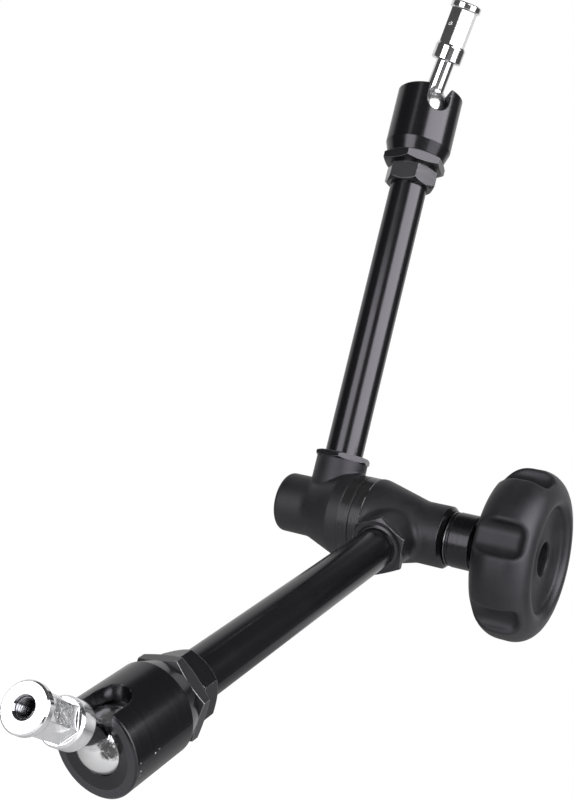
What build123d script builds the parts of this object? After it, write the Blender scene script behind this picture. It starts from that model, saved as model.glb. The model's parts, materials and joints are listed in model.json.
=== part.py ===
# Articulating friction arm: two tubes hinged at a clamping elbow, with a ball stud in a socket at each end
from build123d import *
from math import cos, radians, sin, sqrt, tan
import os

# Driving sizes of the pose, in millimetres and degrees
arm_angle = 116.0  # between the two arms, about the elbow axis
lower_slot_azimuth = 83.5  # around the arm's axis, from the elbow axis
upper_slot_azimuth = -47.0
stud_swing = 3.5  # of each stud within its slot, around the arm's axis
lower_stud_tilt = 40.2  # off the arm's axis
upper_stud_tilt = 23.0

# Turn of a corner of each hexagon around its arm, from the elbow axis
lower_socket_nut_turn = 12.0
lower_fitting_turn = 22.5
lower_elbow_nut_turn = 24.5
upper_socket_nut_turn = 41.5
upper_fitting_turn = 5.5
upper_elbow_nut_turn = 47.0

# Named clearances
running = 0.05  # turned pieces that move in each other, and threads
sliding = 0.15  # guided pieces that slide
ball_play = 0.10  # ball in its seats
seam_gap = 0.30  # between the two castings
slot_play = 1.3  # on each side of the neck
pad_clearance = 4.0  # between the fitting's spigot and the ball's pad
head_clearance = 1.3  # left beyond the bolt's head when it is driven out
washer_gap = 0.7  # between the lower casting's end and the washer
knob_standoff = 8.0  # from the sleeve to the knob's back
disc_play = 0.8  # around the release discs
stop_ring_play = 1.0  # around the stop ring in the knob's front hole

# Ball studs
ball_diameter = 22.5
stud_length = 56.0  # from the ball's centre to the flange face
spigot_diameter = 16.0
flange_thickness = 3.6
collar_start = 25.7  # from the ball's centre
collar_length = 8.6
neck_diameter = 9.8
neck_step = 0.4  # ring where the neck meets the ball
spigot_chamfer = 0.6
lower_thread_diameter = 6.35  # quarter inch
upper_thread_diameter = 9.525  # three eighths of an inch
thread_depth = 14.0
thread_chamfer = 0.6
waist_wall = 1.44  # left around the larger thread by the hexagonal waist

# Sockets, with the ball's height measured along the arm from the elbow axis
ball_height = 220.7
rim_above_ball = 7.6
socket_length = 36.3
socket_wall = 5.4  # around the thread
socket_cone_length = 6.3
socket_cone_depth = 2.2
mouth_lip = 1.1  # from the rim down to the mouth's edge
rim_land = 3.4
rim_chamfer = 0.7

# Pieces on the tubes
thread_over_ball = 0.75  # all around, so the ball goes in from behind
socket_nut_wall = 3.0
socket_nut_thickness = 4.9
nut_to_fitting = 1.2
fitting_wall = 2.5
fitting_hex_length = 9.6
fitting_land = 0.4
tube_diameter = 19.5
tube_wall = 1.9
tube_in_fitting = 7.0
elbow_nut_wall = 3.25
elbow_nut_thickness = 3.3
nut_chamfer = 0.9
rod_diameter = 10.0
rod_chamfer = 0.8
pad_thickness = 3.4  # under the lowest point of the ball
pad_rim_below_ball = 6.6
pad_chamfer = 1.0

# Elbow castings, measured from the seam along the elbow axis
rim_width = 6.0
rim_step = 0.2
neck_wall = 5.15  # around the cavity
upper_shoulder_length = 6.5
upper_shoulder_rounding = 2.0
upper_neck_start = 29.5
lower_shoulder_length = 2.0
lower_shoulder_rounding = 9.0
lower_neck_start = 31.5
waist_rounding = 12.0
neck_end_chamfer = 1.9
neck_end_break = 0.3
end_rounding = 2.2
end_wall = 4.7  # behind the pocket of the bolt's head
boss_wall = 3.55  # around the tube
boss_from_rim = 1.5
boss_rise = 4.9  # above the shoulder
upper_boss_blend = 1.2
lower_boss_land = 0.9  # left above the blend
tube_seat_wall = 3.9  # from the cavity to the tube's end
cavity_diameter = 20.2
friction_ring_inset = 1.9  # outside the cavity
friction_ring_width = 6.5
friction_ring_margin = 2.8  # inside the rim
friction_ring_thickness = 1.5

# Clamping train on the elbow axis
screw_pitch = 1.5
loosening_turns = 1.5
bolt_diameter = 10.0
bolt_head_step = 1.0
bolt_head_length = 6.0
bolt_tip = 0.9  # beyond the stop ring
bolt_chamfer = 1.0
wedge_angle = 30.0
wedge_contact_radius = 8.0
wedge_small_radius = 7.0
wedge_guide_length = 9.2
disc_thickness = 0.8
disc_height = 1.6
disc_count = 4
washer_thickness = 0.7
washer_inset = 0.2
sleeve_shoulder = 3.3  # outside the cavity
sleeve_groove_depth = 0.8
sleeve_groove_width = 1.2
sleeve_chamfer = 0.5
sleeve_length = 12.1
insert_diameter = 18.0
insert_length = 22.0
stop_ring_thickness = 1.2

# Knob
knob_diameter = 80.8
knob_width = 28.3
knob_flat = 4.3  # between the two rounded edges
crease_inset = 3.7  # of the dish's edge inside the crest
dish_crease_depth = 3.5
dish_depth = 4.1
dish_hollow = 1.2
front_hole_diameter = 16.6
groove_count = 6
groove_width = 15.6
groove_depth = 6.6
groove_floor_rounding = 5.4
groove_front = 2.4  # left uncut behind the front face
groove_end_rounding = 5.2
groove_rounding = 1.4
groove_turn = 4.8
groove_overrun = 2.0

# Derived sizes and places along the arm
ball_radius = ball_diameter / 2
seat_radius = ball_radius + ball_play
hex_flats = upper_thread_diameter + 2 * waist_wall
spigot_thread_diameter = ball_diameter + 2 * thread_over_ball
socket_diameter = spigot_thread_diameter + 2 * socket_wall
socket_nut_flats = spigot_thread_diameter + 2 * socket_nut_wall
fitting_flats = tube_diameter + 2 * fitting_wall
elbow_nut_flats = tube_diameter + 2 * elbow_nut_wall
slot_width = neck_diameter + 2 * slot_play
rim_height = ball_height + rim_above_ball
socket_base = rim_height - socket_length
nut_bottom = socket_base - socket_nut_thickness
fitting_hex_top = nut_bottom - nut_to_fitting
fitting_hex_bottom = fitting_hex_top - fitting_hex_length
rod_guide = rod_diameter / 2 + sliding
pad_bottom = ball_height - seat_radius - pad_thickness
thread_top = pad_bottom - pad_clearance

# Derived sizes of the elbow castings
friction_ring_inner = cavity_diameter + 2 * friction_ring_inset
friction_ring_outer = friction_ring_inner + 2 * friction_ring_width
rim_diameter = friction_ring_outer + 2 * friction_ring_margin
shoulder_diameter = rim_diameter + 2 * rim_step
neck_outer_diameter = cavity_diameter + 2 * neck_wall
boss_diameter = tube_diameter + 2 * boss_wall
boss_height = shoulder_diameter / 2 + boss_rise
lower_boss_blend = boss_rise - lower_boss_land
tube_start = cavity_diameter / 2 + tube_seat_wall
tube_in_boss = boss_height - tube_start
arm_offset = rim_width + boss_from_rim + boss_diameter / 2  # from the seam to each arm's axis

# Derived places of the clamping train, where knob and bolt share the screw's travel equally
sleeve_travel = screw_pitch * loosening_turns / 2
bolt_bore = bolt_diameter / 2 + running
bolt_head_width = bolt_diameter + 2 * bolt_head_step
wedge_slope = tan(radians(wedge_angle))
wedge_guide_radius = cavity_diameter / 2 - sliding
wedge_flank_end = arm_offset + (wedge_guide_radius - wedge_contact_radius) / wedge_slope
wedge_flank_start = arm_offset - (wedge_contact_radius - wedge_small_radius) / wedge_slope
wedge_guide_end = wedge_flank_end + wedge_guide_length
head_pocket_end = wedge_guide_end + bolt_head_length + sleeve_travel + head_clearance
casting_length = head_pocket_end + end_wall
disc_radius = cavity_diameter / 2 - disc_play
disc_stack = disc_count * disc_height
washer_start = casting_length + washer_gap
sleeve_start = washer_start + washer_thickness
sleeve_end = sleeve_start + sleeve_length
sleeve_radius = cavity_diameter / 2 + sleeve_shoulder
insert_start = sleeve_end + running
insert_end = insert_start + insert_length
stop_ring_gap = screw_pitch * loosening_turns + 2 * running
stop_ring_start = insert_end + stop_ring_gap
stop_ring_radius = front_hole_diameter / 2 - stop_ring_play
bolt_end = stop_ring_start + stop_ring_thickness + bolt_tip
knob_back = sleeve_end + knob_standoff
knob_front = knob_back + knob_width
knob_rounding = (knob_width - knob_flat) / 2

# The studs stand off the slots' middles by their swing
lower_stud_azimuth = lower_slot_azimuth - stud_swing
upper_stud_azimuth = upper_slot_azimuth + stud_swing

# Directions and the elbow's place, with the origin at the lower stud's flange face
elbow_axis = Vector(1, 0, 0)
upper_axis = Vector(0, 0, 1)
lower_axis = Vector(0, -sin(radians(arm_angle)), cos(radians(arm_angle)))


def tilted(place, azimuth, tilt):
    """Unit vector at a tilt off a plane's normal, towards an azimuth around it."""
    across = place.x_dir * cos(radians(azimuth)) + place.y_dir * sin(radians(azimuth))
    return place.z_dir * cos(radians(tilt)) + across * sin(radians(tilt))


lower_heading = Plane((0, 0, 0), x_dir=elbow_axis, z_dir=lower_axis)
lower_stud_axis = tilted(lower_heading, lower_stud_azimuth, lower_stud_tilt)
elbow = -(elbow_axis * arm_offset + lower_axis * ball_height + lower_stud_axis * stud_length)

lower_place = Plane(elbow + elbow_axis * arm_offset, x_dir=elbow_axis, z_dir=lower_axis)
upper_place = Plane(elbow - elbow_axis * arm_offset, x_dir=elbow_axis, z_dir=upper_axis)
upper_stud_axis = tilted(upper_place, upper_stud_azimuth, upper_stud_tilt)
elbow_place = Plane(elbow, x_dir=-Vector(0, 1, 0), z_dir=elbow_axis)


def stud_place(place, azimuth, axis):
    """Plane at an arm's ball, its normal along the stud."""
    aside = tilted(place, azimuth, 90).cross(place.z_dir)
    return Plane(place.origin + place.z_dir * ball_height, x_dir=aside, z_dir=axis)


def section(place):
    """Plane through a turning axis: its x is the radius and its y runs along the axis."""
    return Plane(place.origin, x_dir=place.x_dir, z_dir=-place.y_dir)


def turning_axis(place):
    return Axis(place.origin, place.z_dir)


def save(piece, name):
    piece.part.label = name
    export_step(piece.part, f"parts/{name}.step")


def ball_stud(place, thread_diameter):
    """Ball, neck, collar, hexagonal waist and flange, turned and milled from one bar."""
    radius = spigot_diameter / 2
    collar_end = collar_start + collar_length
    flange_start = stud_length - flange_thickness
    neck = neck_diameter / 2
    ring = neck + neck_step
    root = sqrt(ball_radius**2 - ring**2)
    with BuildPart() as stud:
        with BuildSketch(section(place)):
            with BuildLine():
                ThreePointArc(
                    (0, -ball_radius),
                    (ball_radius * cos(radians(20)), -ball_radius * sin(radians(20))),
                    (ring, root),
                )
                Polyline(
                    (ring, root),
                    (ring, root + neck_step),
                    (neck, root + 2 * neck_step),
                    (neck, collar_start),
                    (radius - spigot_chamfer, collar_start),
                    (radius, collar_start + spigot_chamfer),
                    (radius, collar_end - 2 * spigot_chamfer),
                    (radius - spigot_chamfer, collar_end),
                    (0, collar_end),
                    (0, -ball_radius),
                )
            make_face()
        revolve(axis=turning_axis(place))
        with BuildSketch(place.offset(collar_end)):
            RegularPolygon(hex_flats / 2, 6, major_radius=False)
        extrude(amount=flange_start - collar_end)
        with BuildSketch(place.offset(flange_start)):
            Circle(radius)
        flange = extrude(amount=flange_thickness)
        chamfer(flange.edges().filter_by(GeomType.CIRCLE), spigot_chamfer)
        with BuildSketch(section(place)):
            with BuildLine():
                Polyline(
                    (0, stud_length),
                    (thread_diameter / 2 + thread_chamfer, stud_length),
                    (thread_diameter / 2, stud_length - thread_chamfer),
                    (thread_diameter / 2, stud_length - thread_depth),
                    (0, stud_length - thread_depth - thread_diameter / 3),
                    (0, stud_length),
                )
            make_face()
        revolve(axis=turning_axis(place), mode=Mode.SUBTRACT)
    return stud


def ball_pad(place):
    """Cup that the push rod presses against the ball."""
    outer = seat_radius - sliding
    cup = seat_radius
    rim = ball_height - pad_rim_below_ball
    cup_rim = sqrt(cup**2 - pad_rim_below_ball**2)
    with BuildPart() as pad:
        with BuildSketch(section(place)):
            with BuildLine():
                Polyline(
                    (0, ball_height - cup),
                    (0, pad_bottom),
                    (outer - pad_chamfer, pad_bottom),
                    (outer, pad_bottom + pad_chamfer),
                    (outer, rim),
                    (cup_rim, rim),
                )
                halfway = radians(30)
                ThreePointArc(
                    (cup_rim, rim),
                    (cup * sin(halfway), ball_height - cup * cos(halfway)),
                    (0, ball_height - cup),
                )
            make_face()
        revolve(axis=turning_axis(place))
    return pad


def socket(place, slot_azimuth):
    """Turned cup with a conical mouth that holds the ball, and a slot that lets the neck swing out."""
    outer = socket_diameter / 2
    mouth_edge = rim_height - mouth_lip
    mouth = sqrt(seat_radius**2 - (mouth_edge - ball_height) ** 2)
    thread_radius = spigot_thread_diameter / 2 + running
    with BuildPart() as cup:
        with BuildSketch(section(place)):
            with BuildLine():
                Polyline(
                    (seat_radius, ball_height),
                    (seat_radius, thread_top + running),
                    (thread_radius, thread_top + running),
                    (thread_radius, socket_base),
                    (outer - socket_cone_depth, socket_base),
                    (outer, socket_base + socket_cone_length),
                    (outer, rim_height - rim_chamfer),
                    (outer - rim_chamfer, rim_height),
                    (outer - rim_land, rim_height),
                    (mouth, mouth_edge),
                )
                halfway = (mouth_edge - ball_height) / 2
                ThreePointArc(
                    (mouth, mouth_edge),
                    (sqrt(seat_radius**2 - halfway**2), ball_height + halfway),
                    (seat_radius, ball_height),
                )
            make_face()
        revolve(axis=turning_axis(place))
        side = tilted(place, slot_azimuth, 90)
        slot_plane = Plane(place.origin + place.z_dir * ball_height, x_dir=place.z_dir, z_dir=side)
        with BuildSketch(slot_plane):
            Circle(slot_width / 2)
            with Locations((rim_above_ball, 0)):
                Rectangle(2 * rim_above_ball, slot_width)
        extrude(amount=socket_diameter, mode=Mode.SUBTRACT)
    return cup


def hex_nut(place, turn, start, flats, thickness, bore):
    """Thin hexagonal jam nut with its corners chamfered on both faces."""
    corner = flats / sqrt(3)
    with BuildPart() as nut:
        with BuildSketch(place.offset(start)):
            RegularPolygon(flats / 2, 6, major_radius=False, rotation=turn)
            Circle(bore / 2, mode=Mode.SUBTRACT)
        extrude(amount=thickness)
        with BuildSketch(section(place)):
            with BuildLine():
                Polyline(
                    (0, start),
                    (flats / 2, start),
                    (corner, start + nut_chamfer),
                    (corner, start + thickness - nut_chamfer),
                    (flats / 2, start + thickness),
                    (0, start + thickness),
                    close=True,
                )
            make_face()
        revolve(axis=turning_axis(place), mode=Mode.INTERSECT)
    return nut


def tube_fitting(place, turn):
    """Hexagon at the tube's end with the threaded spigot that screws into the socket."""
    corner = fitting_flats / sqrt(3)
    with BuildPart() as fitting:
        with BuildSketch(place.offset(fitting_hex_bottom)):
            RegularPolygon(fitting_flats / 2, 6, major_radius=False, rotation=turn)
        extrude(amount=fitting_hex_length)
        with BuildSketch(section(place)):
            with BuildLine():
                Polyline(
                    (0, fitting_hex_bottom),
                    (fitting_flats / 2 - fitting_land, fitting_hex_bottom),
                    (corner, fitting_hex_bottom + 2 * nut_chamfer),
                    (corner, fitting_hex_top - nut_chamfer),
                    (fitting_flats / 2 - fitting_land, fitting_hex_top),
                    (0, fitting_hex_top),
                    close=True,
                )
            make_face()
        revolve(axis=turning_axis(place), mode=Mode.INTERSECT)
        with BuildSketch(place.offset(fitting_hex_top)):
            Circle(spigot_thread_diameter / 2)
        extrude(amount=thread_top - fitting_hex_top)
        with BuildSketch(place.offset(fitting_hex_bottom)):
            Circle(tube_diameter / 2)
        extrude(amount=tube_in_fitting, mode=Mode.SUBTRACT)
        with BuildSketch(place.offset(fitting_hex_bottom)):
            Circle(rod_guide)
        extrude(amount=thread_top - fitting_hex_bottom, mode=Mode.SUBTRACT)
    return fitting


def arm_tube(place):
    with BuildPart() as tube:
        with BuildSketch(place.offset(tube_start)):
            Circle(tube_diameter / 2)
            Circle(tube_diameter / 2 - tube_wall, mode=Mode.SUBTRACT)
        extrude(amount=fitting_hex_bottom + tube_in_fitting - tube_start)
    return tube


def push_rod(place):
    """Rod with a domed foot on the wedge's flank and a flat head under the ball's pad."""
    radius = rod_diameter / 2
    dome_centre = wedge_contact_radius + (radius + running) / cos(radians(wedge_angle))
    top = pad_bottom - running
    with BuildPart() as rod:
        with BuildSketch(section(place)):
            with BuildLine():
                Polyline(
                    (radius, dome_centre),
                    (radius, top - rod_chamfer),
                    (radius - rod_chamfer, top),
                    (0, top),
                    (0, dome_centre - radius),
                )
                ThreePointArc(
                    (0, dome_centre - radius),
                    (radius * sin(radians(45)), dome_centre - radius * cos(radians(45))),
                    (radius, dome_centre),
                )
            make_face()
        revolve(axis=turning_axis(place))
    return rod


def casting_outline(facing, shoulder_length, shoulder_rounding, neck_start, closed):
    """Half outline of an elbow casting, from the seam outwards along the elbow axis."""
    near = seam_gap / 2
    rim = rim_diameter / 2
    shoulder = shoulder_diameter / 2
    neck = neck_outer_diameter / 2
    if closed:
        corner = [(casting_length, neck), (casting_length, 0)]
        roundings = [shoulder_rounding, waist_rounding, end_rounding]
    else:
        corner = [
            (casting_length - neck_end_chamfer, neck),
            (casting_length, neck - neck_end_chamfer),
            (casting_length, 0),
        ]
        roundings = [shoulder_rounding, waist_rounding, neck_end_break, neck_end_break]
    points = [(rim_width, shoulder), (rim_width + shoulder_length, shoulder), (neck_start, neck)] + corner
    FilletPolyline(*[(facing * x, y) for x, y in points], radius=roundings)
    ends = [(casting_length, 0), (near, 0), (near, rim), (rim_width, rim), (rim_width, shoulder)]
    Polyline(*[(facing * x, y) for x, y in ends])


def elbow_casting(place, facing, shoulder_length, shoulder_rounding, neck_start, closed, boss_blend):
    """Half of the elbow: a tapered barrel on the elbow axis and a boss for the arm's tube."""
    barrel = Plane(elbow, x_dir=elbow_axis, z_dir=-Vector(0, 1, 0))
    seam = Plane(elbow, x_dir=upper_axis, z_dir=elbow_axis * facing)
    guide_end = wedge_guide_end + sleeve_travel + sliding
    with BuildPart() as casting:
        with BuildSketch(barrel):
            with BuildLine():
                casting_outline(facing, shoulder_length, shoulder_rounding, neck_start, closed)
            make_face()
        revolve(axis=Axis(elbow, elbow_axis))
        before = casting.edges()
        with BuildSketch(place):
            Circle(boss_diameter / 2)
        extrude(amount=boss_height)
        added = ShapeList(edge for edge in casting.edges() if edge not in before)
        meeting = added.filter_by(GeomType.CIRCLE, reverse=True).filter_by(GeomType.LINE, reverse=True)
        fillet(meeting, boss_blend)
        with BuildSketch(seam):
            Circle(cavity_diameter / 2)
        extrude(amount=guide_end if closed else casting_length, mode=Mode.SUBTRACT)
        if closed:
            with BuildSketch(seam.offset(guide_end)):
                Rectangle(bolt_head_width + 2 * sliding, bolt_head_width + 2 * sliding)
            extrude(amount=head_pocket_end - guide_end, mode=Mode.SUBTRACT)
        with BuildSketch(seam):
            Circle(friction_ring_outer / 2 + sliding)
        extrude(amount=friction_ring_thickness / 2 + (running if closed else 0), mode=Mode.SUBTRACT)
        with BuildSketch(place):
            Circle(rod_guide)
        extrude(amount=boss_height, mode=Mode.SUBTRACT)
        with BuildSketch(place.offset(tube_start)):
            Circle(tube_diameter / 2)
        extrude(amount=tube_in_boss, mode=Mode.SUBTRACT)
    return casting


def wedge(facing):
    """Cone that drives the push rod outwards, with a hub that bears on the springs."""
    hub = disc_stack / 2 + running
    with BuildPart() as cone:
        with BuildSketch(section(elbow_place)):
            with BuildLine():
                outline = [
                    (bolt_bore, hub),
                    (wedge_small_radius, hub),
                    (wedge_small_radius, wedge_flank_start),
                    (wedge_guide_radius, wedge_flank_end),
                    (wedge_guide_radius, wedge_guide_end),
                    (bolt_bore, wedge_guide_end),
                ]
                Polyline(*[(radius, facing * along) for radius, along in outline], close=True)
            make_face()
        revolve(axis=turning_axis(elbow_place))
    return cone


os.makedirs("parts", exist_ok=True)

# Ball studs, pads and sockets
lower_stud_place = stud_place(lower_place, lower_stud_azimuth, lower_stud_axis)
upper_stud_place = stud_place(upper_place, upper_stud_azimuth, upper_stud_axis)
save(ball_stud(lower_stud_place, lower_thread_diameter), "lower_ball_stud")
save(ball_stud(upper_stud_place, upper_thread_diameter), "upper_ball_stud")
save(socket(lower_place, lower_slot_azimuth), "lower_socket")
save(socket(upper_place, upper_slot_azimuth), "upper_socket")

# Pieces that both arms have
arms = (
    ("lower", lower_place, lower_socket_nut_turn, lower_fitting_turn, lower_elbow_nut_turn),
    ("upper", upper_place, upper_socket_nut_turn, upper_fitting_turn, upper_elbow_nut_turn),
)
socket_nut_bore = spigot_thread_diameter + 2 * running
for side, place, socket_nut_turn, fitting_turn, elbow_nut_turn in arms:
    save(ball_pad(place), f"{side}_ball_pad")
    socket_nut = hex_nut(
        place, socket_nut_turn, nut_bottom, socket_nut_flats, socket_nut_thickness, socket_nut_bore
    )
    save(socket_nut, f"{side}_socket_nut")
    save(tube_fitting(place, fitting_turn), f"{side}_tube_fitting")
    save(arm_tube(place), f"{side}_tube")
    elbow_nut = hex_nut(
        place, elbow_nut_turn, boss_height, elbow_nut_flats, elbow_nut_thickness, tube_diameter
    )
    save(elbow_nut, f"{side}_elbow_nut")
    save(push_rod(place), f"{side}_push_rod")

# Elbow castings and the ring between them
upper_shoulder = (upper_shoulder_length, upper_shoulder_rounding)
upper_casting = elbow_casting(upper_place, -1, *upper_shoulder, upper_neck_start, True, upper_boss_blend)
save(upper_casting, "upper_elbow_casting")
lower_shoulder = (lower_shoulder_length, lower_shoulder_rounding)
lower_casting = elbow_casting(lower_place, 1, *lower_shoulder, lower_neck_start, False, lower_boss_blend)
save(lower_casting, "lower_elbow_casting")

with BuildPart() as friction_ring:
    with BuildSketch(elbow_place.offset(-friction_ring_thickness / 2)):
        Circle(friction_ring_outer / 2)
        Circle(friction_ring_inner / 2, mode=Mode.SUBTRACT)
    extrude(amount=friction_ring_thickness)
save(friction_ring, "elbow_friction_ring")

# Wedges, the sprung discs between them, the bolt and its stop ring
save(wedge(-1), "upper_wedge")
save(wedge(1), "lower_wedge")

for index in range(disc_count):
    flipped = index % 2
    low = index * disc_height - disc_stack / 2 + running / 2
    rise = disc_height - disc_thickness - running
    inner_side = low + rise * flipped
    outer_side = low + rise * (1 - flipped)
    with BuildPart() as disc:
        with BuildSketch(section(elbow_place)):
            with BuildLine():
                Polyline(
                    (bolt_bore + sliding, inner_side),
                    (disc_radius, outer_side),
                    (disc_radius, outer_side + disc_thickness),
                    (bolt_bore + sliding, inner_side + disc_thickness),
                    close=True,
                )
            make_face()
        revolve(axis=turning_axis(elbow_place))
    save(disc, f"release_disc_{index + 1}")

with BuildPart() as bolt:
    with BuildSketch(elbow_place.offset(-wedge_guide_end - bolt_head_length)):
        Rectangle(bolt_head_width, bolt_head_width)
    extrude(amount=bolt_head_length)
    with BuildSketch(elbow_place.offset(-wedge_guide_end)):
        Circle(bolt_diameter / 2)
    extrude(amount=wedge_guide_end + bolt_end)
    chamfer(bolt.edges().sort_by(Axis.X)[-1], bolt_chamfer)
save(bolt, "draw_bolt")

with BuildPart() as stop_ring:
    with BuildSketch(elbow_place.offset(stop_ring_start)):
        Circle(stop_ring_radius)
        Circle(bolt_bore, mode=Mode.SUBTRACT)
    extrude(amount=stop_ring_thickness)
save(stop_ring, "bolt_stop_ring")

# Washer and sleeve between the lower casting and the knob
with BuildPart() as washer:
    with BuildSketch(elbow_place.offset(washer_start)):
        Circle(sleeve_radius - washer_inset)
        Circle(wedge_guide_radius + running, mode=Mode.SUBTRACT)
    extrude(amount=washer_thickness)
save(washer, "clamp_washer")

with BuildPart() as sleeve:
    with BuildSketch(section(elbow_place)):
        with BuildLine():
            groove = sleeve_radius - sleeve_groove_depth
            groove_end = sleeve_start + sleeve_groove_width
            Polyline(
                (bolt_bore + sliding, wedge_guide_end),
                (wedge_guide_radius, wedge_guide_end),
                (wedge_guide_radius, sleeve_start),
                (groove, sleeve_start),
                (groove, groove_end),
                (sleeve_radius - sleeve_chamfer, groove_end),
                (sleeve_radius, groove_end + sleeve_chamfer),
                (sleeve_radius, sleeve_end - sleeve_chamfer),
                (sleeve_radius - sleeve_chamfer, sleeve_end),
                (bolt_bore + sliding, sleeve_end),
                close=True,
            )
        make_face()
    revolve(axis=turning_axis(elbow_place))
save(sleeve, "clamp_sleeve")

# Knob and its threaded insert
with BuildPart() as insert:
    with BuildSketch(elbow_place.offset(insert_start)):
        Circle(insert_diameter / 2)
        Circle(bolt_bore, mode=Mode.SUBTRACT)
    extrude(amount=insert_length)
save(insert, "knob_insert")

with BuildPart() as groove_cutter:
    with BuildSketch(elbow_place.offset(knob_back - groove_overrun)):
        with PolarLocations(knob_diameter / 2, 1, start_angle=-groove_turn):
            RectangleRounded(2 * groove_depth, groove_width, groove_floor_rounding)
    extrude(amount=groove_overrun + knob_width - groove_front)
    fillet(groove_cutter.faces().sort_by(Axis.X)[-1].edges(), groove_end_rounding)
groove_cuts = [
    groove_cutter.part.rotate(turning_axis(elbow_place), index * 360 / groove_count)
    for index in range(groove_count)
]

with BuildPart() as knob:
    with BuildSketch(section(elbow_place)):
        with BuildLine():
            outer = knob_diameter / 2
            crest = outer - knob_rounding
            crease = (crest - crease_inset, knob_front - dish_crease_depth)
            hole_edge = (front_hole_diameter / 2, knob_front - dish_depth)
            hollow = ((crease[0] + hole_edge[0]) / 2, (crease[1] + hole_edge[1]) / 2 - dish_hollow)
            Polyline((insert_diameter / 2, insert_end), (insert_diameter / 2, knob_back), (crest, knob_back))
            RadiusArc((crest, knob_back), (outer, knob_back + knob_rounding), -knob_rounding)
            Line((outer, knob_back + knob_rounding), (outer, knob_front - knob_rounding))
            RadiusArc((outer, knob_front - knob_rounding), (crest, knob_front), -knob_rounding)
            TangentArc((crest, knob_front), crease, tangent=(-1, 0))
            ThreePointArc(crease, hollow, hole_edge)
            Polyline(hole_edge, (front_hole_diameter / 2, insert_end), (insert_diameter / 2, insert_end))
        make_face()
    revolve(axis=turning_axis(elbow_place))
    blank_edges = knob.edges()
    add(groove_cuts, mode=Mode.SUBTRACT)
    groove_edges = ShapeList(edge for edge in knob.edges() if edge not in blank_edges)
    fillet(groove_edges.filter_by(GeomType.CIRCLE, reverse=True), groove_rounding)
save(knob, "knob")
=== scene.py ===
import json
import math
import bpy
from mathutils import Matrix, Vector


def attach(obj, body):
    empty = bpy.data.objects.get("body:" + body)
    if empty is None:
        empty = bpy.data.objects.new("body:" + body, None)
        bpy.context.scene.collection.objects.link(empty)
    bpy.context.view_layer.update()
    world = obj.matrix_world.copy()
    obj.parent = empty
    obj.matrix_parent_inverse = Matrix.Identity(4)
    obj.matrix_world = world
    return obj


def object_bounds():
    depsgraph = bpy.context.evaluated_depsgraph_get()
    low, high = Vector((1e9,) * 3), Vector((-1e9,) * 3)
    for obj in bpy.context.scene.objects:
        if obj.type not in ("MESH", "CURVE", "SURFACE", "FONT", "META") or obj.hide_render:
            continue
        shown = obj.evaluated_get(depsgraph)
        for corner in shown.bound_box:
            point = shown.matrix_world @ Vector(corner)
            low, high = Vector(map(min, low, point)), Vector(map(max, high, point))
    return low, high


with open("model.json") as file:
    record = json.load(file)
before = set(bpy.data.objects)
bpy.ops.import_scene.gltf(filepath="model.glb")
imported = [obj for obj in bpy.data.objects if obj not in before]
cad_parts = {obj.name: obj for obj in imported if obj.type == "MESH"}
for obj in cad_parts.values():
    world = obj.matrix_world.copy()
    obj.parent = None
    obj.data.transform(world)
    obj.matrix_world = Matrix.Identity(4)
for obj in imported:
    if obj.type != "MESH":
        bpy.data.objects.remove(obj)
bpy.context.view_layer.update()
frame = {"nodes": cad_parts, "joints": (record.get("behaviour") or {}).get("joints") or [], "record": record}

joints = {joint["name"]: joint for joint in frame["joints"]}
mounts = {mount["name"]: mount for mount in frame["record"]["mounts"]}
nodes = frame["nodes"]

# the places and directions that the materials and pieces need, in the frame's metres
lowerBall = Vector(joints["lower_tilt"]["pos_m"])
upperBall = Vector(joints["upper_tilt"]["pos_m"])
elbow = Vector(joints["elbow"]["pos_m"])
elbowAxis = Vector((1, 0, 0))
lowerAxis = Vector(joints["lower_swivel"]["axis"]).normalized()
upperAxis = Vector((0, 0, 1))
lowerStudAxis = Vector(mounts["lower_thread"]["axis"]).normalized()
upperStudAxis = Vector(mounts["upper_thread"]["axis"]).normalized()
print("frame loaded:", len(nodes), "nodes")


# small helpers for shader trees
def addNode(tree, kind, **settings):
    node = tree.nodes.new(kind)
    for name, value in settings.items():
        setattr(node, name, value)
    return node


def put(tree, value, socket):  # a number, colour or vector, or another node's output
    if isinstance(value, bpy.types.NodeSocket):
        tree.links.new(value, socket)
    else:
        socket.default_value = value


def math2(tree, operation, first, second=0.0):
    node = addNode(tree, "ShaderNodeMath", operation=operation)
    put(tree, first, node.inputs[0])
    put(tree, second, node.inputs[1])
    return node.outputs[0]


def plus(tree, first, second):
    return math2(tree, "ADD", first, second)


def minus(tree, first, second):
    return math2(tree, "SUBTRACT", first, second)


def times(tree, first, second):
    return math2(tree, "MULTIPLY", first, second)


def above(tree, value, limit):
    return math2(tree, "GREATER_THAN", value, limit)


def below(tree, value, limit):
    return math2(tree, "LESS_THAN", value, limit)


def vector2(tree, operation, first, second=(0, 0, 0), scale=None, out="Vector"):
    node = addNode(tree, "ShaderNodeVectorMath", operation=operation)
    put(tree, first, node.inputs[0])
    put(tree, second, node.inputs[1])
    if scale is not None:
        put(tree, scale, node.inputs["Scale"])
    return node.outputs[out]


def distanceFrom(tree, place, centre):
    return vector2(tree, "LENGTH", vector2(tree, "SUBTRACT", place, centre), out="Value")


def noise(tree, place, scale, detail=3.0, roughness=0.5, distortion=0.0):
    node = addNode(tree, "ShaderNodeTexNoise")
    put(tree, place, node.inputs["Vector"])
    put(tree, scale, node.inputs["Scale"])
    put(tree, detail, node.inputs["Detail"])
    put(tree, roughness, node.inputs["Roughness"])
    put(tree, distortion, node.inputs["Distortion"])
    return node.outputs["Fac"]


def ramp(tree, value, low, high, toLow=0.0, toHigh=1.0, smooth=False):
    node = addNode(tree, "ShaderNodeMapRange", clamp=True)
    node.interpolation_type = "SMOOTHSTEP" if smooth else "LINEAR"
    for socket, number in zip(node.inputs, (value, low, high, toLow, toHigh)):
        put(tree, number, socket)
    return node.outputs[0]


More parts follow.
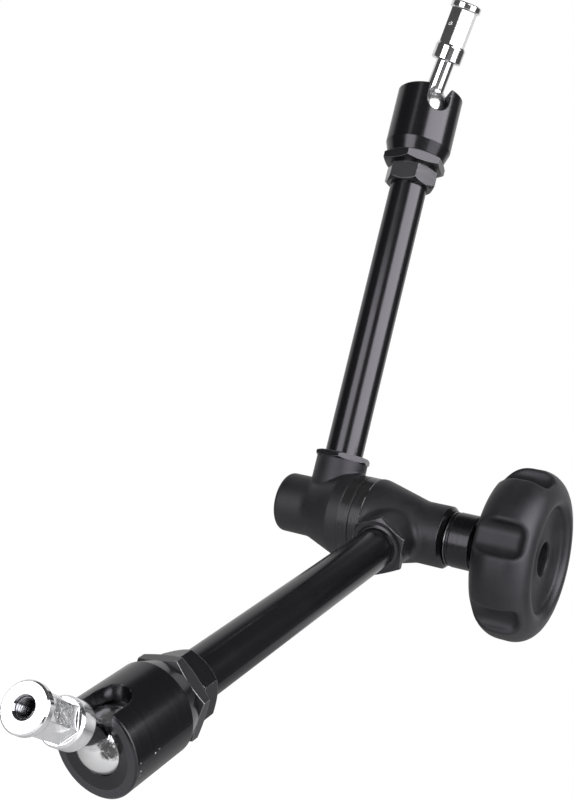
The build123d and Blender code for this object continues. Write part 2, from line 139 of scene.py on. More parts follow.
def mixColour(tree, factor, first, second):
    node = addNode(tree, "ShaderNodeMix", data_type="RGBA")
    put(tree, factor, node.inputs["Factor"])
    put(tree, first, node.inputs[6])  # 6 and 7 are the sockets for colours, and so is output 2
    put(tree, second, node.inputs[7])
    return node.outputs[2]


def bump(tree, height, distance, strength, normal):
    node = addNode(tree, "ShaderNodeBump")
    put(tree, height, node.inputs["Height"])
    put(tree, distance, node.inputs["Distance"])
    put(tree, strength, node.inputs["Strength"])
    put(tree, normal, node.inputs["Normal"])
    return node.outputs["Normal"]


# shared effects, built once
def startGroup(name, inputs, outputs):
    group = bpy.data.node_groups.new(name, "ShaderNodeTree")
    for label, kind, value in inputs:
        socket = group.interface.new_socket(label, in_out="INPUT", socket_type="NodeSocket" + kind)
        socket.default_value = value
    for label, kind in outputs:
        group.interface.new_socket(label, in_out="OUTPUT", socket_type="NodeSocket" + kind)
    return group, addNode(group, "NodeGroupInput").outputs, addNode(group, "NodeGroupOutput").inputs


def useGroup(tree, group, **values):
    node = addNode(tree, "ShaderNodeGroup", node_tree=group)
    for label, value in values.items():
        put(tree, value, node.inputs[label])
    return node.outputs


# distance along an axis and away from it, for turned and drawn surfaces
alongAxis, source, sink = startGroup(
    "alongAxis",
    [("Place", "Vector", (0, 0, 0)), ("Centre", "Vector", (0, 0, 0)), ("Axis", "Vector", (0, 0, 1))],
    [("Along", "Float"), ("Away", "Float")])
offset = vector2(alongAxis, "SUBTRACT", source["Place"], source["Centre"])
along = vector2(alongAxis, "DOT_PRODUCT", offset, source["Axis"], out="Value")
down = vector2(alongAxis, "SCALE", source["Axis"], scale=along)
across = vector2(alongAxis, "SUBTRACT", offset, down)
put(alongAxis, along, sink["Along"])
put(alongAxis, vector2(alongAxis, "LENGTH", across, out="Value"), sink["Away"])

# fine grooves left by a lathe, around the axis on barrels and in rings on end faces
latheLook = {"rings": 0.83, "fine": {"scale": 1.0, "detail": 2.0, "roughness": 0.6},
             "wide": {"scale": 0.13, "detail": 3.0, "roughness": 0.55}}
turning, source, sink = startGroup(
    "turning",
    [("Along", "Float", 0.0), ("Away", "Float", 0.0), ("Pitch", "Float", 0.0002)],
    [("Height", "Float"), ("Tone", "Float")])
travel = plus(turning, source["Along"], times(turning, source["Away"], latheLook["rings"]))
line = math2(turning, "DIVIDE", travel, source["Pitch"])
fineLine = addNode(turning, "ShaderNodeCombineXYZ")
put(turning, line, fineLine.inputs["X"])
put(turning, noise(turning, fineLine.outputs[0], **latheLook["fine"]), sink["Height"])
wideLine = addNode(turning, "ShaderNodeCombineXYZ")
put(turning, line, wideLine.inputs["Y"])
put(turning, noise(turning, wideLine.outputs[0], **latheLook["wide"]), sink["Tone"])

# scratches that run every way, thin and short, in sets that are each turned and stretched
scratchLook = {
    "sets": [{"turn": (0.3, 0.9, 0.2), "stretch": (1.0, 0.035, 1.0)},
             {"turn": (1.2, 0.1, 0.8), "stretch": (0.05, 1.0, 1.0)},
             {"turn": (0.5, 0.4, 1.9), "stretch": (1.0, 1.0, 0.04)}],
    "field": {"detail": 1.0, "roughness": 0.4, "distortion": 0.15}, "middle": 0.5, "width": 0.006,
    "patchScale": 0.35, "patchDetail": 2.0, "patchTo": 0.85, "spread": 0.5}
scratching, source, sink = startGroup(
    "scratching",
    [("Place", "Vector", (0, 0, 0)), ("Scale", "Float", 300.0), ("Amount", "Float", 0.5)],
    [("Mask", "Float")])
masks = []
for scratchSet in scratchLook["sets"]:
    mapping = addNode(scratching, "ShaderNodeMapping")
    put(scratching, scratchSet["turn"], mapping.inputs["Rotation"])
    put(scratching, scratchSet["stretch"], mapping.inputs["Scale"])
    put(scratching, source["Place"], mapping.inputs["Vector"])
    field = noise(scratching, mapping.outputs[0], source["Scale"], **scratchLook["field"])
    offLine = math2(scratching, "ABSOLUTE", minus(scratching, field, scratchLook["middle"]))
    masks.append(ramp(scratching, offLine, 0.0, scratchLook["width"], 1.0, 0.0))
most = math2(scratching, "MAXIMUM", math2(scratching, "MAXIMUM", masks[0], masks[1]), masks[2])
patchScale = times(scratching, source["Scale"], scratchLook["patchScale"])
patch = noise(scratching, source["Place"], patchScale, scratchLook["patchDetail"])
patchFrom = minus(scratching, scratchLook["patchTo"],
                  times(scratching, source["Amount"], scratchLook["spread"]))
patchy = ramp(scratching, patch, patchFrom, scratchLook["patchTo"])
put(scratching, times(scratching, most, patchy), sink["Mask"])

# along sharp edges, in broken stretches: where the coating has thinned on the black finishes, and a painted
# dark edge reflection on the bright metals
edgeMaskLook = {"samples": 6, "sharpFrom": 0.985, "sharpTo": 0.80, "detail": 4.0, "roughness": 0.65,
              "least": 0.78, "spread": 0.5, "soft": 0.12}
edgeWearAndDarkReflection, source, sink = startGroup(
    "edgeWearAndDarkReflection",
    [("Place", "Vector", (0, 0, 0)), ("Width", "Float", 0.0004), ("Break", "Float", 900.0),
     ("Amount", "Float", 0.5)],
    [("Mask", "Float"), ("Normal", "Vector")])
rounded = addNode(edgeWearAndDarkReflection, "ShaderNodeBevel", samples=edgeMaskLook["samples"])
put(edgeWearAndDarkReflection, source["Width"], rounded.inputs["Radius"])
flat = addNode(edgeWearAndDarkReflection, "ShaderNodeNewGeometry")
facing = vector2(edgeWearAndDarkReflection, "DOT_PRODUCT", rounded.outputs[0], flat.outputs["Normal"], out="Value")
edge = ramp(edgeWearAndDarkReflection, facing, edgeMaskLook["sharpFrom"], edgeMaskLook["sharpTo"])
edgeBreakup = noise(edgeWearAndDarkReflection, source["Place"], source["Break"], edgeMaskLook["detail"], edgeMaskLook["roughness"])
limit = minus(edgeWearAndDarkReflection, edgeMaskLook["least"], times(edgeWearAndDarkReflection, source["Amount"], edgeMaskLook["spread"]))
broken = ramp(edgeWearAndDarkReflection, edgeBreakup, limit, plus(edgeWearAndDarkReflection, limit, edgeMaskLook["soft"]))
put(edgeWearAndDarkReflection, times(edgeWearAndDarkReflection, edge, broken), sink["Mask"])
put(edgeWearAndDarkReflection, rounded.outputs[0], sink["Normal"])

# the fine pebbled skin of powder coat and moulded plastic
skinLook = {"smoothness": 0.7, "dip": -0.7, "fineScale": 1.6, "fineDetail": 2.0,
            "toneScale": 0.03, "toneDetail": 4.0, "toneRoughness": 0.6}
skin, source, sink = startGroup(
    "skin",
    [("Place", "Vector", (0, 0, 0)), ("Scale", "Float", 2500.0)],
    [("Height", "Float"), ("Tone", "Float")])
pebbles = addNode(skin, "ShaderNodeTexVoronoi", feature="SMOOTH_F1")
put(skin, source["Place"], pebbles.inputs["Vector"])
put(skin, source["Scale"], pebbles.inputs["Scale"])
put(skin, skinLook["smoothness"], pebbles.inputs["Smoothness"])
fineScale = times(skin, source["Scale"], skinLook["fineScale"])
toneScale = times(skin, source["Scale"], skinLook["toneScale"])
put(skin, plus(skin, times(skin, pebbles.outputs["Distance"], skinLook["dip"]),
               noise(skin, source["Place"], fineScale, skinLook["fineDetail"])), sink["Height"])
put(skin, noise(skin, source["Place"], toneScale, skinLook["toneDetail"], skinLook["toneRoughness"]),
    sink["Tone"])

# a ragged patch around one place
patchLook = {"scale": 420.0, "detail": 4.0, "roughness": 0.65, "middle": 0.5, "core": 0.7}
patching, source, sink = startGroup(
    "patching",
    [("Place", "Vector", (0, 0, 0)), ("Centre", "Vector", (0, 0, 0)), ("Radius", "Float", 0.004),
     ("Ragged", "Float", 0.004)],
    [("Mask", "Float")])
reach = distanceFrom(patching, source["Place"], source["Centre"])
uneven = noise(patching, source["Place"], patchLook["scale"], patchLook["detail"], patchLook["roughness"])
ragged = times(patching, minus(patching, uneven, patchLook["middle"]), source["Ragged"])
core = times(patching, source["Radius"], patchLook["core"])
put(patching, ramp(patching, plus(patching, reach, ragged), source["Radius"], core), sink["Mask"])
print("shared effects built")


# materials, in which a look holds what one finish has of its own
toneRange = (0.3, 0.7)  # most of a noise lies between these
sheenTint = (0.94, 0.91, 1.0, 1)  # the blacks are a little violet


def startMaterial(name):
    material = bpy.data.materials.new(name)
    material.use_nodes = True
    tree = material.node_tree
    place = addNode(tree, "ShaderNodeTexCoord").outputs["Object"]
    return material, tree, tree.nodes["Principled BSDF"], place


def edgesAndMarks(tree, place, look):
    edging = useGroup(tree, edgeWearAndDarkReflection, Place=place, Width=look["edge"], Break=look["break"], Amount=look["edging"])
    marks = useGroup(tree, scratching, Place=place, Scale=look["scratchScale"], Amount=look["scratches"])
    return edging, marks["Mask"]


def turnedAbout(tree, place, centre, axis, pitch):
    axial = useGroup(tree, alongAxis, Place=place, Centre=tuple(centre), Axis=tuple(axis))
    lathe = useGroup(tree, turning, Along=axial["Along"], Away=axial["Away"], Pitch=pitch)
    return axial, lathe


anodised = {"cloud": {"scale": 60.0, "detail": 4.0, "roughness": 0.6}, "scuffShare": 0.35,
            "scratchDuller": 0.12, "bareMetal": 0.8, "scratchDepth": 0.00002, "scratchStrength": -0.5}


def blackAnodised(name, centre, axis, look, lip=None, specks=None, face=None):
    material, tree, shader, place = startMaterial(name)
    axial, lathe = turnedAbout(tree, place, centre, axis, look["pitch"])
    edging, marks = edgesAndMarks(tree, place, look)
    base = mixColour(tree, noise(tree, place, **anodised["cloud"]), look["dark"], look["light"])
    scuffed = mixColour(tree, times(tree, marks, anodised["scuffShare"]), base, look["scuff"])
    colour = mixColour(tree, edging["Mask"], scuffed, look["bare"])
    if specks:  # a few pale nicks near one place
        cells = addNode(tree, "ShaderNodeTexVoronoi")
        put(tree, place, cells.inputs["Vector"])
        put(tree, specks["scale"], cells.inputs["Scale"])
        near = useGroup(tree, patching, Place=place, Centre=specks["place"], Radius=specks["radius"],
                        Ragged=specks["radius"])["Mask"]
        dots = times(tree, below(tree, cells.outputs["Distance"], specks["size"]), near)
        colour = mixColour(tree, dots, colour, specks["colour"])
    rough = plus(tree, ramp(tree, lathe["Tone"], *toneRange, look["smooth"], look["rough"]),
                 times(tree, marks, anodised["scratchDuller"]))
    if face:  # the end face is duller than the turned mouth within it, and its greyer colour is a painted reflection
        onFace = above(tree, axial["Along"], face["from"])
        paintedFaceSheen = mixColour(tree, lathe["Tone"], face["dark"], face["light"])
        colour = mixColour(tree, onFace, colour, paintedFaceSheen)
        rough = plus(tree, rough, times(tree, onFace, face["duller"]))
    put(tree, colour, shader.inputs["Base Color"])
    put(tree, rough, shader.inputs["Roughness"])
    put(tree, times(tree, edging["Mask"], anodised["bareMetal"]), shader.inputs["Metallic"])
    shader.inputs["Specular IOR Level"].default_value = look["specular"]
    shader.inputs["Specular Tint"].default_value = sheenTint
    relief = bump(tree, lathe["Height"], look["groove"], 1.0, edging["Normal"])
    if lip:  # a rounded lip stands around the hole of a nut
        slope = ramp(tree, axial["Away"], lip["outer"], lip["inner"])
        relief = bump(tree, slope, lip["depth"], 1.0, relief)
    relief = bump(tree, marks, anodised["scratchDepth"], anodised["scratchStrength"], relief)
    put(tree, relief, shader.inputs["Normal"])
    return material


textured = {"scuffShare": 0.4}


def texturedBlack(name, look, machined=None):
    material, tree, shader, place = startMaterial(name)
    grain = useGroup(tree, skin, Place=place, Scale=look["grain"])
    edging, marks = edgesAndMarks(tree, place, look)
    base = mixColour(tree, ramp(tree, grain["Tone"], *toneRange), look["dark"], look["light"])
    colour = mixColour(tree, times(tree, marks, textured["scuffShare"]), base, look["scuff"])
    colour = mixColour(tree, edging["Mask"], colour, look["bare"])
    rough = ramp(tree, grain["Tone"], *toneRange, look["smooth"], look["rough"])
    height = grain["Height"]
    if machined:  # a rim turned bright and oiled after coating, with a painted highlight along its outer edge, broken up by noise
        axial = useGroup(tree, alongAxis, Place=place, Centre=tuple(elbow), Axis=tuple(elbowAxis))
        lathe = useGroup(tree, turning, Along=axial["Along"], Away=0.0, Pitch=machined["pitch"])
        rim = times(tree, below(tree, math2(tree, "ABSOLUTE", axial["Along"]), machined["width"]),
                    above(tree, axial["Away"], machined["inside"]))
        rimTone = mixColour(tree, lathe["Tone"], machined["dark"], machined["light"])
        colour = mixColour(tree, rim, colour, rimTone)
        rimRough = ramp(tree, lathe["Tone"], *toneRange, machined["smooth"], machined["rough"])
        rough = plus(tree, times(tree, rough, minus(tree, 1.0, rim)), times(tree, rimRough, rim))
        height = mixColour(tree, rim, height, times(tree, lathe["Height"], machined["grooves"]))
        # painted highlight: near its outer end the rim is mixed in broken strips toward the bare colour
        highlightBreak = ramp(tree, noise(tree, place, machined["highlightBreakScale"]), *machined["highlightBreakRange"])
        rimEdgeHighlight = times(tree, rim, above(tree, axial["Along"], machined["highlightFrom"]))
        colour = mixColour(tree, times(tree, rimEdgeHighlight, highlightBreak), colour, machined["bare"])
        neckEnd = above(tree, axial["Along"], machined["endFrom"])  # the neck's turned end
        colour = mixColour(tree, neckEnd, colour, machined["dark"])
        rough = mixColour(tree, neckEnd, rough, machined["endRough"])
        height = mixColour(tree, neckEnd, height, times(tree, lathe["Height"], machined["endGrooves"]))
    put(tree, colour, shader.inputs["Base Color"])
    put(tree, rough, shader.inputs["Roughness"])
    shader.inputs["Specular IOR Level"].default_value = look["specular"]
    shader.inputs["Specular Tint"].default_value = sheenTint
    put(tree, bump(tree, height, look["depth"], 1.0, edging["Normal"]), shader.inputs["Normal"])
    return material


bright = {"cloud": {"scale": 350.0, "detail": 4.0, "roughness": 0.65}, "cloudRange": (0.35, 0.7),
          "scuffShare": 0.5, "edgeReflectionShare": 0.8, "toneRange": (0.3, 0.75), "scratchDuller": 0.25,
          "ballShare": 0.8, "scratchDepth": 0.00001, "scratchStrength": -0.6,
          "blot": {"detail": 5.0, "roughness": 0.7, "distortion": 1.2}, "blotSoft": 0.12}


def brightMetal(name, centre, axis, look, ball=None, hole=0.0, patches=()):
    material, tree, shader, place = startMaterial(name)
    axial, lathe = turnedAbout(tree, place, centre, axis, look["pitch"])
    edging, marks = edgesAndMarks(tree, place, look)
    cloud = ramp(tree, noise(tree, place, **bright["cloud"]), *bright["cloudRange"])
    base = mixColour(tree, cloud, look["light"], look["dark"])
    colour = mixColour(tree, times(tree, marks, bright["scuffShare"]), base, look["scuff"])
    # painted dark reflection: the bright metals' sharp edges are darkened toward a dark edge colour
    colour = mixColour(tree, times(tree, edging["Mask"], bright["edgeReflectionShare"]), colour, look["paintedEdgeReflection"])
    rough = plus(tree, ramp(tree, lathe["Tone"], *bright["toneRange"], look["smooth"], look["rough"]),
                 times(tree, marks, bright["scratchDuller"]))
    relief = bump(tree, lathe["Height"], look["groove"], 1.0, edging["Normal"])
    if ball:  # the ball is duller than the rest, from rubbing in its seat
        onBall = below(tree, distanceFrom(tree, place, tuple(centre)), ball["radius"])
        rough = plus(tree, rough, times(tree, onBall, ball["duller"]))
        colour = mixColour(tree, times(tree, onBall, bright["ballShare"]), colour, ball["colour"])
    if hole:  # the threaded hole is duller inside, and it is painted dark inside and grey on its countersink, both painted shade
        mouth = times(tree, above(tree, axial["Along"], holeShadeLook["mouth"]),
                      below(tree, axial["Away"], hole + holeShadeLook["countersink"]))
        inside = times(tree, below(tree, axial["Away"], hole + holeShadeLook["wall"]),
                       above(tree, axial["Along"], holeShadeLook["bottom"]))
        colour = mixColour(tree, mouth, colour, holeShadeLook["rim"])
        colour = mixColour(tree, inside, colour, holeShadeLook["dark"])
        rough = plus(tree, rough, times(tree, inside, holeShadeLook["duller"]))
    for patch in patches:  # scuffed, stained and dented places
        near = useGroup(tree, patching, Place=place, Centre=patch["place"], Radius=patch["radius"],
                        Ragged=patch["ragged"])["Mask"]
        texture = noise(tree, place, patch["grain"], **bright["blot"])
        blot = ramp(tree, texture, patch["from"], patch["from"] + bright["blotSoft"])
        colour = mixColour(tree, times(tree, near, blot), colour, patch["colour"])
        rough = plus(tree, rough, times(tree, near, patch["duller"]))
        relief = bump(tree, times(tree, texture, near), patch["depth"], 1.0, relief)
    put(tree, colour, shader.inputs["Base Color"])
    put(tree, rough, shader.inputs["Roughness"])
    shader.inputs["Metallic"].default_value = 1.0
    relief = bump(tree, marks, bright["scratchDepth"], bright["scratchStrength"], relief)
    put(tree, relief, shader.inputs["Normal"])
    return material


# the looks of the black finishes
black = (0.003, 0.0028, 0.0034, 1)
softBlack = (0.006, 0.0058, 0.0068, 1)
paleScuff = (0.05, 0.05, 0.05, 1)
socketLook = {"dark": black, "light": (0.0045, 0.0043, 0.005, 1), "scuff": paleScuff,
              "bare": (0.35, 0.35, 0.36, 1), "pitch": 0.0002, "groove": 0.000004, "edge": 0.0006,
              "break": 1500.0, "edging": 0.35, "scratchScale": 500.0, "scratches": 0.25, "smooth": 0.17,
              "rough": 0.24, "specular": 0.5}
socketSpecks = {"place": (0.0110, 0.0542, -0.0153), "radius": 0.0062, "scale": 460.0, "size": 0.15,
                "colour": (0.28, 0.28, 0.29, 1)}
# the greyer colours below are a painted reflection on the socket's end face; its duller roughness is real
socketFaceAndSheen = {"from": 0.00755, "dark": (0.016, 0.0155, 0.018, 1), "light": (0.026, 0.025, 0.029, 1),
              "duller": 0.06}
tubeLook = dict(socketLook, pitch=0.002, groove=0.000002, smooth=0.19, rough=0.23, scratches=0.12)
nutLook = dict(socketLook, dark=softBlack, light=(0.012, 0.0115, 0.0135, 1), pitch=0.00025,
               groove=0.000006, edge=0.00045, edging=1.0, scratches=0.5, smooth=0.24, rough=0.34)
fittingLook = dict(nutLook, dark=black, light=(0.008, 0.0077, 0.009, 1), smooth=0.17, rough=0.25,
                   edging=0.7)
nutLip = {"inner": 0.0098, "outer": 0.0112, "depth": 0.0007}
boltLook = dict(nutLook, edging=0.5)
sleeveLook = dict(socketLook, smooth=0.20, rough=0.29, edging=0.6, specular=0.4)
castingLook = {"dark": (0.007, 0.0068, 0.0078, 1), "light": (0.012, 0.0117, 0.0132, 1),
               "scuff": paleScuff, "bare": (0.12, 0.12, 0.12, 1), "grain": 2600.0, "depth": 0.00005,
               "edge": 0.0005, "break": 1200.0, "edging": 0.15, "scratchScale": 350.0,
               "scratches": 0.25, "smooth": 0.38, "rough": 0.52, "specular": 0.45}
# the bare colour below, near the rim's outer end, is a painted highlight along the rim's edge
rimLook = {"width": 0.0060, "inside": 0.0195, "pitch": 0.00022, "grooves": 0.6,
           "dark": (0.004, 0.004, 0.0045, 1), "light": (0.02, 0.02, 0.02, 1), "smooth": 0.16,
           "rough": 0.34, "highlightFrom": 0.0056, "highlightBreakScale": 260.0, "highlightBreakRange": (0.46, 0.54),
           "bare": (0.30, 0.30, 0.31, 1), "endFrom": 0.0443, "endGrooves": 0.1,
           "endRough": (0.18, 0.18, 0.18, 1)}
knobLook = dict(castingLook, dark=(0.007, 0.007, 0.0082, 1), light=(0.012, 0.012, 0.0138, 1),
                grain=3200.0, depth=0.00003, edge=0.0022, smooth=0.38, rough=0.48, edging=0.0,
                scratches=0.15, specular=0.36)
fibreLook = dict(castingLook, dark=(0.05, 0.035, 0.025, 1), light=(0.10, 0.075, 0.05, 1),
                 grain=1500.0, smooth=0.7, rough=0.85)

# the looks of the bright metals
# the dark edge colour below is a painted reflection along the sharp edges of the bright metals
studLook = {"dark": (0.74, 0.74, 0.76, 1), "light": (0.90, 0.90, 0.92, 1),
            "scuff": (0.45, 0.45, 0.46, 1), "pitch": 0.00015, "groove": 0.000002, "edge": 0.0004,
            "break": 900.0, "edging": 1.6, "paintedEdgeReflection": (0.12, 0.12, 0.13, 1), "scratchScale": 700.0,
            "scratches": 0.45, "smooth": 0.06, "rough": 0.13}
ballLook = {"radius": 0.01135, "duller": 0.14, "colour": (0.78, 0.78, 0.79, 1)}
# the rim and dark colours below are painted shade, on the countersink and inside the threaded hole
holeShadeLook = {"mouth": 0.0553, "bottom": 0.0400, "countersink": 0.0008, "wall": 0.0001,
            "duller": 0.15, "rim": (0.30, 0.30, 0.32, 1), "dark": (0.10, 0.10, 0.11, 1)}
groundLook = dict(studLook, dark=(0.40, 0.40, 0.41, 1), light=(0.58, 0.58, 0.59, 1), smooth=0.22,
                  rough=0.36, edging=0.4)
oiledLook = dict(groundLook, dark=(0.20, 0.20, 0.21, 1), light=(0.34, 0.34, 0.35, 1), smooth=0.28,
                 rough=0.42)
washerLook = dict(groundLook, dark=(0.06, 0.06, 0.065, 1), light=(0.16, 0.16, 0.17, 1), smooth=0.2,
                  rough=0.3)
padLook = dict(groundLook, dark=(0.24, 0.24, 0.25, 1), light=(0.40, 0.40, 0.41, 1), smooth=0.24,
               rough=0.36)
threadLook = dict(groundLook, dark=(0.14, 0.14, 0.16, 1), light=(0.28, 0.28, 0.30, 1), smooth=0.18,
                  rough=0.28)

# the lower stud is scuffed on its waist and stained on its ball
scuffPatch = {"place": (0.00415, 0.01398, -0.00012), "radius": 0.0064, "ragged": 0.006,
              "grain": 750.0, "from": 0.50, "colour": (0.10, 0.10, 0.11, 1), "duller": 0.16,
              "depth": 0.00025}
stainPatch = {"place": (0.00111, 0.04562, -0.01422), "radius": 0.0040, "ragged": 0.004,
              "grain": 500.0, "from": 0.35, "colour": (0.10, 0.10, 0.10, 1), "duller": 0.12,
              "depth": 0.00004}


def onUpperStud(along, facing, away):  # a place by distance from the ball and the way a flat faces
    return tuple(upperBall + upperStudAxis * along + Vector(facing) * away)


# the upper stud has two small dents in its waist
dentPatch = {"place": onUpperStud(0.0440, (-0.354, -0.930, -0.163), 0.0063), "radius": 0.0012,
             "ragged": 0.003, "grain": 900.0, "from": 0.52, "colour": (0.60, 0.60, 0.61, 1),
             "duller": 0.10, "depth": 0.0003}
rubPatch = {"place": onUpperStud(0.0375, (0.729, -0.563, -0.389), 0.0062), "radius": 0.0022,
            "ragged": 0.005, "grain": 700.0, "from": 0.60, "colour": (0.45, 0.45, 0.46, 1),
            "duller": 0.12, "depth": 0.0002}

# what each arm has of its own
arms = {
    "lower": {"ball": lowerBall, "axis": lowerAxis, "studAxis": lowerStudAxis, "specks": socketSpecks,
              "patches": (scuffPatch, stainPatch), "threadRadius": 0.003175, "threadPitch": 0.00127},
    "upper": {"ball": upperBall, "axis": upperAxis, "studAxis": upperStudAxis, "specks": None,
              "patches": (dentPatch, rubPatch), "threadRadius": 0.0047625, "threadPitch": 0.0015875},
}
finishes = {}
for side, arm in arms.items():
    ball, axis = arm["ball"], arm["axis"]
    finishes[side + "_ball_stud"] = brightMetal(side + "StudChrome", ball, arm["studAxis"], studLook,
                                                ballLook, arm["threadRadius"], arm["patches"])
    finishes[side + "_ball_pad"] = brightMetal(side + "PadSteel", ball, axis, padLook)
    finishes[side + "_socket"] = blackAnodised(side + "SocketBlack", ball, axis, socketLook,
                                               specks=arm["specks"], face=socketFaceAndSheen)
    finishes[side + "_socket_nut"] = blackAnodised(side + "NutBlack", ball, axis, nutLook)
    finishes[side + "_tube_fitting"] = blackAnodised(side + "FittingBlack", ball, axis, fittingLook)
    finishes[side + "_tube"] = blackAnodised(side + "TubeBlack", ball, axis, tubeLook)
    finishes[side + "_elbow_nut"] = blackAnodised(side + "ElbowNutBlack", ball, axis, nutLook, lip=nutLip)

# what the pieces of the elbow and the clamp share
elbowFinishes = [
    (texturedBlack("castingBlack", castingLook, rimLook), ["lower_elbow_casting", "upper_elbow_casting"]),
    (texturedBlack("ringFibre", fibreLook), ["elbow_friction_ring"]),
    (texturedBlack("knobCharcoal", knobLook), ["knob"]),
    (blackAnodised("sleeveBlack", elbow, elbowAxis, sleeveLook), ["clamp_sleeve"]),
    (blackAnodised("boltBlack", elbow, elbowAxis, boltLook), ["draw_bolt", "bolt_stop_ring", "knob_insert"]),
    (brightMetal("washerSteel", elbow, elbowAxis, washerLook), ["clamp_washer"]),
    (brightMetal("oiledSteel", elbow, elbowAxis, oiledLook),
     ["release_disc_1", "release_disc_2", "release_disc_3", "release_disc_4"]),
    (brightMetal("groundSteel", elbow, elbowAxis, groundLook),
     ["lower_push_rod", "upper_push_rod", "lower_wedge", "upper_wedge"]),
]
for finish, names in elbowFinishes:
    finishes.update({name: finish for name in names})

for name, node in nodes.items():
    node.data.materials.clear()
    node.data.materials.append(finishes[name])
print("materials on", len(finishes), "nodes")


# the screw threads in the studs' holes, which their CAD holes leave smooth
threadSize = {"studEnd": 0.056, "below": 0.0009, "length": 0.0115, "height": 0.42, "corners": 4,
              "steps": 40, "merge": 0.000001, "smoothAngle": 40}


def modelThread(side, ball, axis, radius, pitch):
    bpy.ops.object.select_all(action="DESELECT")
    bpy.ops.mesh.primitive_circle_add(vertices=threadSize["corners"], radius=pitch * threadSize["height"],
                                      location=(radius, 0, 0), rotation=(math.pi / 2, 0, 0))
    piece = bpy.context.object
    piece.name = side + "_stud_thread"
    bpy.ops.object.transform_apply(location=True, rotation=True, scale=True)
    turnCount = round(threadSize["length"] / pitch)
    turns = piece.modifiers.new("turns", "SCREW")
    turns.screw_offset = pitch
    turns.iterations = turnCount
    turns.steps = turns.render_steps = threadSize["steps"]
    bpy.ops.object.modifier_apply(modifier="turns")
    bpy.ops.object.mode_set(mode="EDIT")
    bpy.ops.mesh.select_all(action="SELECT")
    bpy.ops.mesh.remove_doubles(threshold=threadSize["merge"])
    bpy.ops.mesh.fill_holes(sides=threadSize["corners"])
    bpy.ops.mesh.normals_make_consistent(inside=False)
    bpy.ops.object.mode_set(mode="OBJECT")
    bpy.ops.object.shade_smooth_by_angle(angle=math.radians(threadSize["smoothAngle"]))
    inner = threadSize["studEnd"] - threadSize["below"] - turnCount * pitch  # the thread's inner end
    piece.location = ball + axis * inner
    piece.rotation_euler = axis.to_track_quat("Z", "Y").to_euler()
    bpy.ops.object.transform_apply(location=True, rotation=True, scale=True)
    piece.data.materials.append(brightMetal(side + "ThreadSteel", ball, axis, threadLook))
    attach(piece, side + "_stud")


for side, arm in arms.items():
    modelThread(side, arm["ball"], arm["studAxis"], arm["threadRadius"], arm["threadPitch"])
print("threads in both studs")


# a pale floor well below the arm, which the camera sees as white with a faint shadow on it
white = (1, 1, 1, 1)
stageLook = {"below": 0.35, "forward": 0.1, "size": 3.6, "floor": (0.54, 0.54, 0.54, 1), "rough": 0.9,
             "white": 1.05, "share": 0.90, "fadeFrom": 0.3, "fadeTo": 1.1}
bpy.ops.object.select_all(action="DESELECT")
lowest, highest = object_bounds()
bpy.ops.mesh.primitive_plane_add(size=stageLook["size"], location=(
    elbow.x, elbow.y - stageLook["forward"], lowest[2] - stageLook["below"]))
floor = bpy.context.object
floor.name = "floor"
floorMaterial, tree, shader, place = startMaterial("floorPale")
shader.inputs["Base Color"].default_value = stageLook["floor"]
shader.inputs["Roughness"].default_value = stageLook["rough"]
pure = addNode(tree, "ShaderNodeEmission")
pure.inputs["Color"].default_value = white
pure.inputs["Strength"].default_value = stageLook["white"]
path = addNode(tree, "ShaderNodeLightPath").outputs
reach = vector2(tree, "LENGTH", place, out="Value")
share = ramp(tree, reach, stageLook["fadeFrom"], stageLook["fadeTo"], stageLook["share"], 1.0, smooth=True)
blend = addNode(tree, "ShaderNodeMixShader")
put(tree, times(tree, path["Is Camera Ray"], share), blend.inputs[0])
put(tree, shader.outputs[0], blend.inputs[1])
put(tree, pure.outputs[0], blend.inputs[2])
put(tree, blend.outputs[0], tree.nodes["Material Output"].inputs["Surface"])
floor.data.materials.append(floorMaterial)
print("floor laid")

# the room is white to the camera, and mirrored it is dim with one bright wall, by bearing and rise in degrees
studioLook = {"ambient": 0.30, "reflected": 0.08, "wall": 0.75, "turn": 30.0, "wallFrom": (60.0, 76.0),
              "wallTo": (178.0, 192.0), "wallTop": (48.0, 64.0)}
fullCircle = 360.0
world = bpy.data.worlds.new("studio")
bpy.context.scene.world = world
world.use_nodes = True
tree = world.node_tree
path = addNode(tree, "ShaderNodeLightPath").outputs
parts = addNode(tree, "ShaderNodeSeparateXYZ")
put(tree, addNode(tree, "ShaderNodeTexCoord").outputs["Generated"], parts.inputs[0])
direction = parts.outputs
bearing = math2(tree, "DEGREES", math2(tree, "ARCTAN2", direction["Y"], direction["X"]))
bearing = math2(tree, "MODULO", plus(tree, bearing, studioLook["turn"] + fullCircle), fullCircle)
rise = math2(tree, "DEGREES", math2(tree, "ARCSINE", direction["Z"]))
wallFrom = [angle + studioLook["turn"] for angle in studioLook["wallFrom"]]
wallTo = [angle + studioLook["turn"] for angle in studioLook["wallTo"]]
wall = times(tree, ramp(tree, bearing, *wallFrom, smooth=True),
             ramp(tree, bearing, *wallTo, 1.0, 0.0, smooth=True))
wall = times(tree, wall, ramp(tree, rise, *studioLook["wallTop"], 1.0, 0.0, smooth=True))
mirrored = ramp(tree, wall, 0.0, 1.0, studioLook["reflected"], studioLook["wall"])
seen = math2(tree, "MAXIMUM", path["Is Camera Ray"], path["Is Transmission Ray"])
plain = ramp(tree, seen, 0.0, 1.0, studioLook["ambient"], 1.0)
glossy = path["Is Glossy Ray"]
level = plus(tree, times(tree, plain, minus(tree, 1.0, glossy)), times(tree, glossy, mirrored))
background = tree.nodes["Background"]
put(tree, level, background.inputs["Strength"])
background.inputs["Color"].default_value = white
print("studio lit")

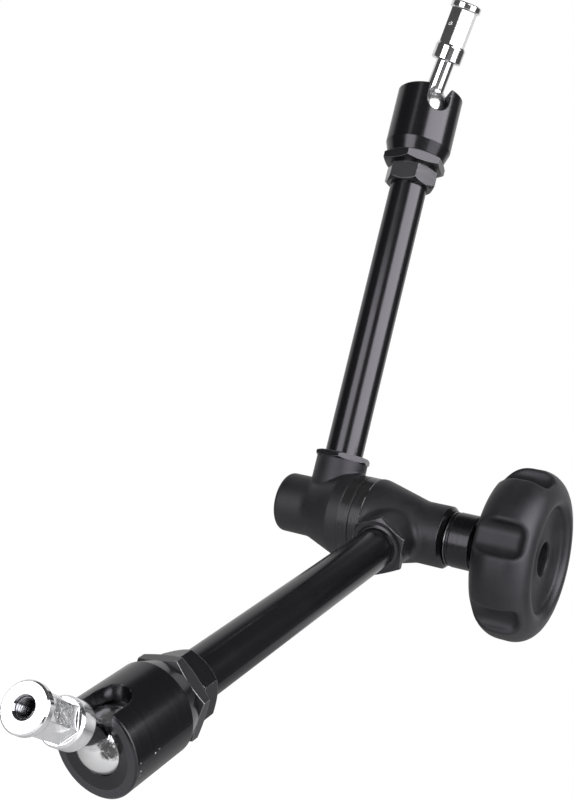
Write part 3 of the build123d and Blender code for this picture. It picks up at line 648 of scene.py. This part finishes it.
# soft lamps around the middle of the arm: bearings and rises in degrees, powers in watts
lampTarget = Vector((-0.01, 0.17, 0.12))
lampLook = {
    "wideRight": {"bearing": -16.0, "rise": 22.0, "away": 1.2, "size": (1.55, 1.0), "power": 32.0},
    "lowRight": {"bearing": -3.0, "rise": -15.0, "away": 1.2, "size": (1.06, 0.62), "power": 4.2},
    "stripLeft": {"bearing": -99.0, "rise": -3.0, "away": 1.2, "size": (0.80, 0.98), "power": 11.0},
    "stripHigh": {"bearing": -108.0, "rise": 35.0, "away": 1.2, "size": (0.17, 0.50), "power": 0.35},
}
for name, look in lampLook.items():
    lamp = bpy.data.lights.new(name, "AREA")
    lamp.shape = "RECTANGLE"
    lamp.size, lamp.size_y = look["size"]
    lamp.energy = look["power"]
    holder = bpy.data.objects.new(name, lamp)
    bpy.context.scene.collection.objects.link(holder)
    bearing, rise = math.radians(look["bearing"]), math.radians(look["rise"])
    outward = Vector((math.cos(rise) * math.cos(bearing), math.cos(rise) * math.sin(bearing), math.sin(rise)))
    holder.location = lampTarget + outward * look["away"]
    holder.rotation_euler = outward.to_track_quat("Z", "Y").to_euler()
print("lamps placed:", len(lampLook))

# the photograph's camera: turn in degrees, focal length and centre in pixels of its frame
cameraLook = {"place": (0.20832, -0.25219, 0.06380), "turn": (96.707, -13.828, 28.165), "focal": 1100.2,
              "centre": (297.8, 413.3), "frame": (574, 800), "sensor": 36.0, "nearest": 0.01}
cameraData = bpy.data.cameras.new("photoCamera")
camera = bpy.data.objects.new("photoCamera", cameraData)
bpy.context.scene.collection.objects.link(camera)
bpy.context.scene.camera = camera
wide, tall = cameraLook["frame"]
cameraData.sensor_width = cameraLook["sensor"]
cameraData.sensor_fit = "AUTO"
cameraData.lens = cameraLook["focal"] / tall * cameraLook["sensor"]
cameraData.shift_x = -(cameraLook["centre"][0] - wide / 2) / tall
cameraData.shift_y = (cameraLook["centre"][1] - tall / 2) / tall
cameraData.clip_start = cameraLook["nearest"]
camera.location = cameraLook["place"]
camera.rotation_euler = [math.radians(angle) for angle in cameraLook["turn"]]
print("camera placed")

bpy.context.scene.view_settings.view_transform = "Standard"
